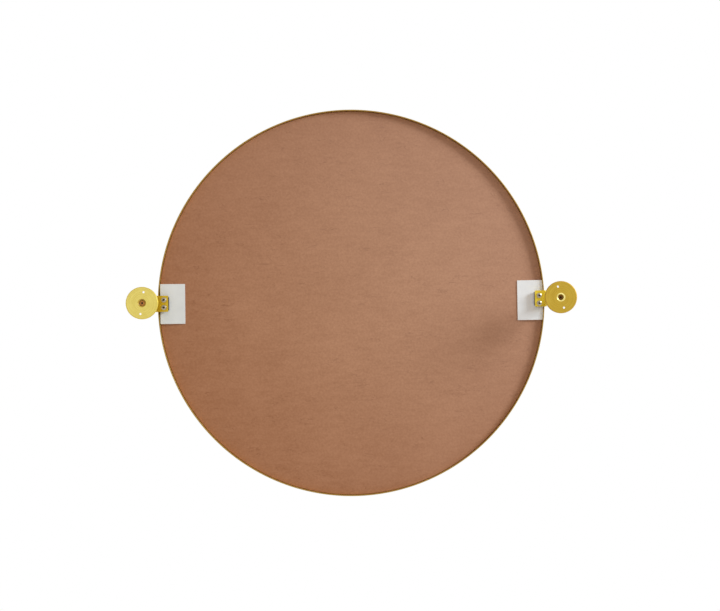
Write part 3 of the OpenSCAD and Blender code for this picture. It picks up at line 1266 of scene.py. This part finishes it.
class Workshop:
    """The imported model, and the ways of making and fitting its pieces."""

    def __init__(self, packed: Mapping[str, Any]) -> None:
        """Reads the model's bodies and slots, and sets up the tools.
        """
        record = packed["record"]
        self.nodes = packed["nodes"]
        self.slots = {part["node"]: part["material_slot"] for part in record["subparts"]}
        self.bodies = {
            node: body for body, nodes in record["behaviour"]["bodies"].items() for node in nodes
        }
        self.lathe = LatheTree()
        self.drill = DrillTree()
        self.fasteners = FastenerTree()
        self.done: list[str] = []

    def dress(self, node: str, material: Material) -> None:
        """Gives a CAD node that stays in view a better material.

        Args:
            node: The CAD node.
            material: The material.
        """
        for slot in self.nodes[node].material_slots:
            slot.material = material
        self.done.append(f"{node}: CAD mesh, dressed")

    def fit(self, mesh: Mesh, node: str, name: str, place: Place | None = None) -> None:
        """Puts a finished mesh in the scene in place of a CAD node.

        Args:
            mesh: The mesh.
            node: The CAD node that it stands for, which gives its body.
            name: The piece's name.
            place: Where its own space is, if the mesh isn't in the model's space.
        """
        if place:
            mesh.transform(place.matrix())
        mesh = self._smoothed(mesh, name)
        piece = shown(name, mesh)
        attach(piece, self.bodies[node])
        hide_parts(node)
        self.done.append(f"{name}: {len(mesh.polygons)} faces, for {node}")

    def report(self) -> list[str]:
        """Returns what was dressed or fitted since the last report, a line for each piece."""
        lines, self.done = self.done, []
        return lines

    def _smoothed(self, mesh: Mesh, name: str) -> Mesh:
        """Closes a mesh and smooths its shading, except at its sharp edges.

        Args:
            mesh: The mesh.
            name: The name of the result.

        Returns:
            The new mesh.
        """
        close(mesh)
        mesh.shade_smooth()
        mesh.set_sharp_from_angle(angle=SMOOTH_ANGLE)
        with temporary(mesh) as holder:
            weighted = holder.modifiers.new("normals", "WEIGHTED_NORMAL")
            weighted.keep_sharp = True
            smooth = evaluated(holder)
        smooth.name = name
        return smooth

    def softened(self, node: str, material: Material, radius: float) -> Mesh:
        """Copies a CAD node's mesh and rounds its sharp outer edges.

        Args:
            node: The CAD node.
            material: The material of the copy.
            radius: The size of the rounding.

        Returns:
            The rounded mesh.
        """
        source = self.nodes[node].data
        mesh = bpy.data.meshes.new(node)
        places = [vertex.co for vertex in source.vertices]
        mesh.from_pydata(places, [], [list(face.vertices) for face in source.polygons])
        solid = bmesh.new()
        solid.from_mesh(mesh)
        bmesh.ops.remove_doubles(solid, verts=solid.verts, dist=MERGE_GAP)
        bmesh.ops.dissolve_limit(
            solid, angle_limit=FLAT_ANGLE, verts=solid.verts, edges=solid.edges
        )
        sharp = [
            edge
            for edge in solid.edges
            if len(edge.link_faces) == 2 and edge.calc_face_angle_signed() > SMOOTH_ANGLE
        ]
        bmesh.ops.bevel(
            solid,
            geom=sharp,
            offset=radius,
            segments=ROUNDING_STEPS,
            profile=0.5,
            affect="EDGES",
            clamp_overlap=False,
        )
        solid.to_mesh(mesh)
        solid.free()
        mesh.materials.append(material)
        return mesh


@dataclass
class SubAssembly(ABC):
    """Some pieces of the mirror that are built and dressed together."""

    workshop: Workshop

    @abstractmethod
    def build(self) -> None:
        """Builds and dresses the pieces."""


# --- The mirror ---


@dataclass
class MirrorPanel(SubAssembly):
    """The frame with its glass and its board, which tilt together."""

    strip: float = 1.5 * MM
    lip_width: float = 5 * MM
    edge_round: float = 0.4 * MM
    bend_round: float = 1.0 * MM

    def build(self) -> None:
        """Builds the band and dresses what it holds."""
        self._band()
        place = Place(NodeBox.of("backing_board").middle)
        self.workshop.dress("backing_board", Fibreboard().material("fibreboard", place))
        self.workshop.dress("mirror_glass", SilveredGlass().material("silvered_glass"))
        self.workshop.dress("glass_tape", FOAM.material("glazing_foam"))
        self.workshop.dress("bonding_strips", ADHESIVE.material("adhesive"))

    def _band(self) -> None:
        """Turns the brass band with the lip at its front."""
        box = NodeBox.of("frame_ring")
        inner = box.radius - self.strip
        lip = box.radius - self.lip_width
        inside = box.front - self.strip
        outline = Outline(
            (
                Corner(inner, box.rear, self.edge_round),
                Corner(box.radius, box.rear, self.edge_round),
                Corner(box.radius, box.front, self.bend_round),
                Corner(lip, box.front, self.edge_round),
                Corner(lip, inside, self.edge_round),
                Corner(inner, inside, self.edge_round),
            )
        )
        finish = replace(FRAME_BRASS, zones=(FRAME_CUT.at(box.rear),))
        brass = finish.material("frame_brass", box.on_wall)
        band = self.workshop.lathe.turn(outline, brass, FRAME_SEGMENTS)
        self.workshop.fit(band, "frame_ring", "frame_band", box.on_wall)


@dataclass
class PivotBracket(SubAssembly):
    """The mirror's hardware on one side: plate, block, angle, screws, stud, washer and nut."""

    side: Side
    plate_round: float = 0.4 * MM
    block_round: float = 0.2 * MM
    leaf_round: float = 0.25 * MM
    nut_round: float = 0.2 * MM
    screw_count: int = 2
    screw_pitch: float = 12 * MM
    screw_seed: int = 7
    head_radius: float = 4.0 * MM
    head_height: float = 3.1 * MM
    head_sphere: float = 6.5 * MM
    head_rim_round: float = 0.3 * MM
    head_foot_round: float = 0.15 * MM
    dome_steps: int = 8
    shank_radius: float = 2.0 * MM
    shank_length: float = 16 * MM
    tip_share: float = 0.6
    tip_length: float = 1.2 * MM
    cross_length: float = 4.8 * MM
    cross_width: float = 1.4 * MM
    cross_round: float = 0.2 * MM
    cross_depth: float = 1.8 * MM
    cross_end_share: float = 0.55
    # Where the painted shade of the cross recess starts: under the head's skin and above its
    # foot.
    dark_from: float = 0.12 * MM
    dark_above_foot: float = 0.2 * MM

    def build(self) -> None:
        """Builds and dresses the side's pieces."""
        side, shop = self.side, self.workshop
        # Each side takes its own lit or shaded copy of the white coat, the leaf brass and the
        # blackened steel: painted light.
        white = WHITE_COAT_LIT_BY_SIDE[side].material(side.of("white_steel"))
        satin = LEAF_BRASS_LIT_BY_SIDE[side].material(side.of("bracket_brass"))
        black = BLACKENED_LIT_BY_SIDE[side].material(side.of("dark_steel"))
        self._soften("mounting_plate", "white_plate", white, self.plate_round)
        self._soften("spacer_block", "dark_block", black, self.block_round)
        self._soften("pivot_bracket", "bent_bracket", satin, self.leaf_round)
        self._screws()
        place = NodeBox.of(side.of("pivot_stud")).on_pivot(side)
        turned = TURNED_BRASS.material(side.of("pivot_brass"), place)
        shop.dress(side.of("pivot_stud"), turned)
        self._soften("cap_nut", "domed_nut", turned, self.nut_round)
        shop.dress(side.of("board_inserts"), satin)
        shop.dress(side.of("spring_washer"), ZINC.material(side.of("spring_steel")))

    def _soften(self, node: str, name: str, material: Material, radius: float) -> None:
        """Fits a copy of one of the side's nodes with rounded edges.

        Args:
            node: The node's name, without the side.
            name: The piece's name, without the side.
            material: The piece's material.
            radius: The size of the rounding.
        """
        node = self.side.of(node)
        mesh = self.workshop.softened(node, material, radius)
        self.workshop.fit(mesh, node, self.side.of(name))

    def _screws(self) -> None:
        """Sets the two cross-head screws, with the foot of their heads on the leaf."""
        node = self.side.of("bracket_screws")
        # The screws' cross recesses take painted shade.
        plating = replace(ZINC, zones=(PAINTED_RECESS_SHADE,))
        zinc = plating.material(self.side.of("zinc_steel"))
        row = self.workshop.fasteners.row(
            self._one_screw(zinc), self.screw_count, self.screw_pitch, self.screw_seed, zinc
        )
        box = NodeBox.of(node)
        place = Place((box.middle[0], box.high.y - self.head_height, box.middle[2]))
        self.workshop.fit(row, node, self.side.of("cross_head_screws"), place)

    def _one_screw(self, material: Material) -> Mesh:
        """Makes one pan-head screw.

        Args:
            material: Its material.

        Returns:
            The screw, its head towards -Z, with a tapered cross recess.
        """
        top = -self.head_height
        to_centre = math.sqrt(self.head_sphere**2 - self.head_radius**2)
        rim = top + self.head_sphere - to_centre
        outline = Outline(
            (
                Corner(0.0, self.shank_length),
                Corner(self.shank_radius * self.tip_share, self.shank_length),
                Corner(self.shank_radius, self.shank_length - self.tip_length),
                Corner(self.shank_radius, 0.0),
                Corner(self.head_radius, 0.0, self.head_foot_round),
                Corner(self.head_radius, rim, self.head_rim_round),
                *dome(self.head_radius, self.head_sphere, top, self.dome_steps),
            ),
            closed=False,
        )
        blank = self.workshop.lathe.turn(outline, material, SCREW_SEGMENTS)
        recess = cross(self.cross_length, self.cross_width, self.cross_round)
        end = top + self.cross_depth
        cutter = prism(recess, top - CUT_PAST, end, self.cross_end_share)
        screw = self.workshop.drill.cut(blank, cutter, material)
        mark_recess(screw, self._is_in_cross)
        return screw

    def _is_in_cross(self, point: Vector) -> bool:
        """Tells whether a point of a screw is in its cross recess, which takes painted shade.

        Args:
            point: The point, in the screw's own space.

        Returns:
            True under the head's skin, near its axis and above its foot.
        """
        centre = Vector((0.0, 0.0, self.head_sphere - self.head_height))
        under_skin = self.head_sphere - (point - centre).length > self.dark_from
        near_axis = math.hypot(point.x, point.y) < self.cross_length / 2
        return under_skin and near_axis and point.z < -self.dark_above_foot


# --- The wall brackets ---


# The turn of each wall plate's pair of holes, from level.
HOLE_TURN = {Side.RIGHT: math.radians(98.5), Side.LEFT: math.radians(75)}


@dataclass
class WallBracket(SubAssembly):
    """What stays on the wall on one side: plate, screw, post, cap, bushes and washer."""

    side: Side
    soft: float = 0.3 * MM
    small_round: float = 0.2 * MM
    corner_round: float = 0.6 * MM
    plate_thickness: float = 5 * MM
    plate_chamfer: float = 0.8 * MM
    plate_round: float = 2 * MM
    hub_radius: float = 11 * MM
    hub_chamfer: float = 1 * MM
    bore_radius: float = 2.75 * MM
    recess_radius: float = 4.5 * MM
    recess_depth: float = 7.5 * MM
    mouth_radius: float = 6.4 * MM
    mouth_round: float = 0.1 * MM
    hole_count: int = 2
    hole_radius: float = 1.75 * MM
    hole_sink_radius: float = 3.5 * MM
    hole_circle_radius: float = 17 * MM
    collar_radius: float = 9 * MM
    collar_height: float = 2 * MM
    shank_radius: float = 4 * MM
    shank_foot_round: float = 0.5 * MM
    neck_height: float = 3 * MM
    neck_round: float = 1.5 * MM
    head_height: float = 25 * MM
    head_rear_round: float = 0.5 * MM
    thread_radius: float = 2.5 * MM
    thread_depth: float = 14 * MM
    spigot_bore_radius: float = 4.05 * MM
    spigot_bore_depth: float = 5 * MM
    cross_bore: float = 5 * MM
    spot_radius: float = 7.2 * MM
    spot_seat: float = 9.4 * MM
    spigot_radius: float = 4 * MM
    spigot_length: float = 4.5 * MM
    cap_rim_height: float = 2 * MM
    cap_rim_round: float = 0.8 * MM
    dome_steps: int = 16
    screw_head_height: float = 3.5 * MM
    screw_head_round: float = 0.4 * MM
    screw_point: float = 0.6 * MM
    key_flats: float = 3 * MM
    key_depth: float = 2 * MM
    key_past: float = 0.1 * MM
    key_dark_radius: float = 1.8 * MM
    place: Place = field(init=False)
    brass: Material = field(init=False)

    def __post_init__(self) -> None:
        """Takes the post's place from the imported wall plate, and makes its brass."""
        self.place = NodeBox.of(self.side.of("wall_plate")).on_wall
        self.brass = WALL_BRASS_LIT_BY_SIDE[self.side].material(self.side.of("turned_brass"), self.place)

    def build(self) -> None:
        """Builds and dresses the side's pieces."""
        side, shop = self.side, self.workshop
        self._fit(self._plate(), "wall_plate", "turned_wall_plate")
        self._fit(self._post(), "post", "turned_post")
        self._fit(self._cap(), "post_cap", "domed_cap")
        self._fit(self._post_screw(), "post_screw", "socket_screw")
        nylon = NYLON.material(side.of("nylon"))
        shop.dress(side.of("inner_bush"), nylon)
        shop.dress(side.of("outer_bush"), nylon)
        washer_place = NodeBox.of(side.of("thrust_washer")).on_pivot(side)
        washer = TURNED_BRASS.material(side.of("washer_brass"), washer_place)
        shop.dress(side.of("thrust_washer"), washer)

    def _fit(self, mesh: Mesh, node: str, name: str) -> None:
        """Fits a part that is turned about the post's axis in place of a node."""
        self.workshop.fit(mesh, self.side.of(node), self.side.of(name), self.place)

    def _turned(
        self, *corners: Corner, closed: bool = False, material: Material | None = None
    ) -> Mesh:
        """Turns a part from its half section.

        Args:
            *corners: The corners of the half section.
            closed: Whether it has a bore, and so is closed away from the axis.
            material: Its material, if it isn't the post's brass.

        Returns:
            The solid.
        """
        return self.workshop.lathe.turn(Outline(corners, closed), material or self.brass)

    def _plate(self) -> Mesh:
        """Turns the wall plate, with its hub and recess, and drills its screw holes.

        Returns:
            The wall plate.
        """
        box = NodeBox.of(self.side.of("wall_plate"))
        # The plate's edge takes painted shade and its mouth painted light, by side.
        zones = (
            PLATE_EDGE_SHADE[self.side].at(box.radius - self.plate_chamfer / 2),
            PLATE_MOUTH_LIT_BY_SIDE[self.side].at(self.mouth_radius),
        )
        finish = replace(WALL_BRASS_LIT_BY_SIDE[self.side], zones=zones)
        brass = finish.material(self.side.of("plate_brass"), self.place)
        mouth_depth = self.mouth_radius - self.recess_radius
        blank = self._turned(
            Corner(self.bore_radius, self.recess_depth),
            Corner(self.recess_radius, self.recess_depth),
            Corner(self.recess_radius, mouth_depth),
            Corner(self.mouth_radius, 0.0, self.mouth_round),
            Corner(box.radius - self.plate_chamfer, 0.0, self.soft),
            Corner(box.radius, self.plate_chamfer, self.soft),
            Corner(box.radius, self.plate_thickness, self.plate_round),
            Corner(self.hub_radius, self.plate_thickness, self.corner_round),
            Corner(self.hub_radius, box.front - self.hub_chamfer, self.soft),
            Corner(self.hub_radius - self.hub_chamfer, box.front, self.soft),
            Corner(self.bore_radius, box.front),
            closed=True,
            material=brass,
        )
        sink = self.hole_sink_radius - self.hole_radius
        cutter = self._turned(
            Corner(0.0, -CUT_PAST),
            Corner(self.hole_radius, -CUT_PAST),
            Corner(self.hole_radius, self.plate_thickness - sink),
            Corner(self.hole_sink_radius + CUT_PAST, self.plate_thickness + CUT_PAST),
            Corner(0.0, self.plate_thickness + CUT_PAST),
            material=brass,
        )
        holes = HoleCircle(self.hole_count, self.hole_circle_radius, HOLE_TURN[self.side])
        return self.workshop.drill.cut(blank, cutter, brass, holes)

    def _post(self) -> Mesh:
        """Turns the post and bores it across for the pivot.

        Returns:
            The post.
        """
        box = NodeBox.of(self.side.of("post"))
        collar_top = box.rear + self.collar_height
        head_rear = box.front - self.head_height
        thread_end = box.rear + self.thread_depth
        spigot_end = box.front - self.spigot_bore_depth
        blank = self._turned(
            Corner(0.0, thread_end),
            Corner(self.thread_radius, thread_end),
            Corner(self.thread_radius, box.rear),
            Corner(self.collar_radius, box.rear, self.small_round),
            Corner(self.collar_radius, collar_top, self.corner_round),
            Corner(self.shank_radius, collar_top, self.shank_foot_round),
            Corner(self.shank_radius, head_rear - self.neck_height, self.neck_round),
            Corner(box.radius, head_rear, self.head_rear_round),
            Corner(box.radius, box.front, self.soft),
            Corner(self.spigot_bore_radius, box.front),
            Corner(self.spigot_bore_radius, spigot_end),
            Corner(0.0, spigot_end),
        )
        far = box.radius + CUT_PAST
        cutter = self._turned(
            Corner(0.0, -far),
            Corner(self.spot_radius, -far),
            Corner(self.spot_radius, -self.spot_seat),
            Corner(self.cross_bore, -self.spot_seat),
            Corner(self.cross_bore, self.spot_seat),
            Corner(self.spot_radius, self.spot_seat),
            Corner(self.spot_radius, far),
            Corner(0.0, far),
        )
        pivot_height = -NodeBox.of(self.side.of("pivot_stud")).middle[1]
        cutter.transform(Place((0.0, 0.0, pivot_height), Axis.TO_RIGHT).matrix())
        return self.workshop.drill.cut(blank, cutter, self.brass)

    def _cap(self) -> Mesh:
        """Turns the domed cap.

        Returns:
            The cap.
        """
        box = NodeBox.of(self.side.of("post_cap"))
        seat = box.rear + self.spigot_length
        rim = seat + self.cap_rim_height
        rise = box.front - rim
        sphere = (box.radius**2 + rise**2) / (2 * rise)
        return self._turned(
            Corner(0.0, box.rear),
            Corner(self.spigot_radius, box.rear, self.small_round),
            Corner(self.spigot_radius, seat),
            Corner(box.radius, seat, self.soft),
            Corner(box.radius, rim, self.cap_rim_round),
            *dome(box.radius, sphere, box.front, self.dome_steps),
        )

    def _post_screw(self) -> Mesh:
        """Turns the recessed screw and sinks its hexagon socket.

        Returns:
            The screw.
        """
        box = NodeBox.of(self.side.of("post_screw"))
        bronze = BRONZED_LIT_BY_SIDE[self.side].material(self.side.of("bronzed_steel"))
        head, tip = box.rear, box.front
        seat = head + self.screw_head_height
        blank = self._turned(
            Corner(0.0, head),
            Corner(box.radius, head, self.screw_head_round),
            Corner(box.radius, seat),
            Corner(self.thread_radius, seat),
            Corner(self.thread_radius, tip - self.screw_point),
            Corner(self.thread_radius - self.screw_point, tip),
            Corner(0.0, tip),
            material=bronze,
        )
        socket = prism(hexagon(self.key_flats), head - CUT_PAST, head + self.key_depth)
        screw = self.workshop.drill.cut(blank, socket, bronze)
        # The hexagon socket takes painted shade.
        low, high = head + self.key_past, head + self.key_depth + self.key_past
        mark_recess(
            screw,
            lambda point: math.hypot(point.x, point.y) < self.key_dark_radius
            and low < point.z < high,
        )
        return screw


# --- The studio ---


class BackdropTree(Tree):
    """A tree for surroundings that look white but don't light the object as if they were."""

    def seen(self) -> Socket:
        """Tells apart the rays that show the background from those that light the object.

        Returns:
            1 for rays from the camera, straight or by way of metal or glass, and else 0.
        """
        path = self.add("ShaderNodeLightPath")
        seen = path.outputs["Is Camera Ray"]
        for kind in ("Is Glossy Ray", "Is Transmission Ray"):
            seen = self.math("MAXIMUM", seen, path.outputs[kind])
        return seen

    def mix(self, factor: Socket, first: bpy.types.Node, second: bpy.types.Node) -> Socket:
        """Returns the first shader at factor 0, going over to the second at 1."""
        inputs = {0: factor, 1: first.outputs[0], 2: second.outputs[0]}
        return self.add("ShaderNodeMixShader", inputs).outputs[0]


@dataclass
class Studio:
    """The floor, the light and the camera."""

    camera_place: Triple = (0.03, 2.45, -0.085)
    camera_aim: Triple = (-0.0132, -0.050, -0.0070)
    camera_roll: float = math.radians(-0.85)
    camera_lens: float = 79.315
    ambient: float = 0.80
    ambient_color: Color = (1.0, 0.90, 0.81, 1.0)
    key_direction: Triple = (-0.866, 0.300, 0.392)
    key_distance: float = 2.0
    key_size: float = 0.66
    key_power: float = 43.6
    key_color: Triple = (0.80, 0.906, 1.0)
    floor_height: float = -1.45
    floor_radius: float = 9.0
    floor_segments: int = 128
    floor_paint: Color = (0.80, 0.85, 0.90, 1.0)
    floor_lift: float = 0.36
    fade_start: float = 2.0
    fade_stop: float = 5.0

    def build(self) -> None:
        """Sets the camera, the light and the floor."""
        bpy.context.scene.view_settings.view_transform = "Standard"
        self._camera()
        self._world()
        self._key_light()
        self._floor()

    def _camera(self) -> None:
        """Stands the camera where the photograph was taken from."""
        data = bpy.data.cameras.new("camera")
        data.lens = self.camera_lens
        place = Vector(self.camera_place)
        look = (Vector(self.camera_aim) - place).to_track_quat("-Z", "Y")
        camera = shown("camera", data)
        camera.location = place
        camera.rotation_mode = "QUATERNION"
        camera.rotation_quaternion = look @ Quaternion((0.0, 0.0, 1.0), self.camera_roll)
        bpy.context.scene.camera = camera

    def _world(self) -> None:
        """Makes the surroundings white to look at, and softer as a light."""
        world = bpy.data.worlds.new("studio")
        world.use_nodes = True
        bpy.context.scene.world = world
        tree = BackdropTree(world.node_tree)
        kind = "ShaderNodeBackground"
        soft = tree.add(kind, {"Color": self.ambient_color, "Strength": self.ambient})
        white = tree.add(kind, {"Color": WHITE, "Strength": 1.0})
        tree.add("ShaderNodeOutputWorld", {"Surface": tree.mix(tree.seen(), soft, white)})

    def _key_light(self) -> None:
        """Hangs the large soft light."""
        data = bpy.data.lights.new("key", "AREA")
        data.shape = "DISK"
        data.size = self.key_size
        data.energy = self.key_power
        data.color = self.key_color
        direction = Vector(self.key_direction).normalized()
        key = shown("key", data)
        key.location = direction * self.key_distance
        key.rotation_mode = "QUATERNION"
        key.rotation_quaternion = direction.to_track_quat("Z", "Y")

    def _floor(self) -> None:
        """Lays a pale floor that fades into the white surroundings."""
        solid = bmesh.new()
        bmesh.ops.create_circle(
            solid, cap_ends=True, segments=self.floor_segments, radius=self.floor_radius
        )
        mesh = bpy.data.meshes.new("floor")
        solid.to_mesh(mesh)
        solid.free()
        mesh.transform(Matrix.Translation((0.0, 0.0, self.floor_height)))
        mesh.materials.append(self._floor_material())
        floor = shown("floor", mesh)

    def _floor_material(self) -> Material:
        """Paints the floor.

        Returns:
            A pale material that takes shadows and goes over to plain white far out.
        """
        material = bpy.data.materials.new("pale_floor")
        material.use_nodes = True
        tree = BackdropTree(material.node_tree)
        seen = tree.seen()
        paint = tree.add("ShaderNodeBsdfDiffuse", {"Color": self.floor_paint})
        lift = tree.math("MULTIPLY", seen, self.floor_lift)
        glow = tree.add("ShaderNodeEmission", {"Strength": lift})
        near = tree.add("ShaderNodeAddShader", {0: paint.outputs[0], 1: glow.outputs[0]})
        white = tree.add("ShaderNodeEmission", {"Strength": seen})
        own = tree.add("ShaderNodeTexCoord").outputs["Object"]
        away = tree.length(tree.vector("MULTIPLY", own, ACROSS))
        far = tree.add(
            "ShaderNodeMapRange",
            {"Value": away, "From Min": self.fade_start, "From Max": self.fade_stop},
            interpolation_type="SMOOTHSTEP",
        )
        mixed = tree.mix(far.outputs[0], near, white)
        tree.add("ShaderNodeOutputMaterial", {"Surface": mixed})
        return material


def main(packed: Mapping[str, Any]) -> None:
    """Builds the mirror's looks and its studio, and reports each piece.
    """
    logging.basicConfig(level=logging.INFO, format="%(name)s: %(message)s")
    workshop = Workshop(packed)
    Studio().build()
    assemblies: list[SubAssembly] = [MirrorPanel(workshop)]
    for side in Side:
        assemblies += [PivotBracket(workshop, side), WallBracket(workshop, side)]
    for assembly in assemblies:
        assembly.build()
        for line in workshop.report():
            log.info("%s: %s", type(assembly).__name__, line)


if __name__ == "__main__":
    main(frame)
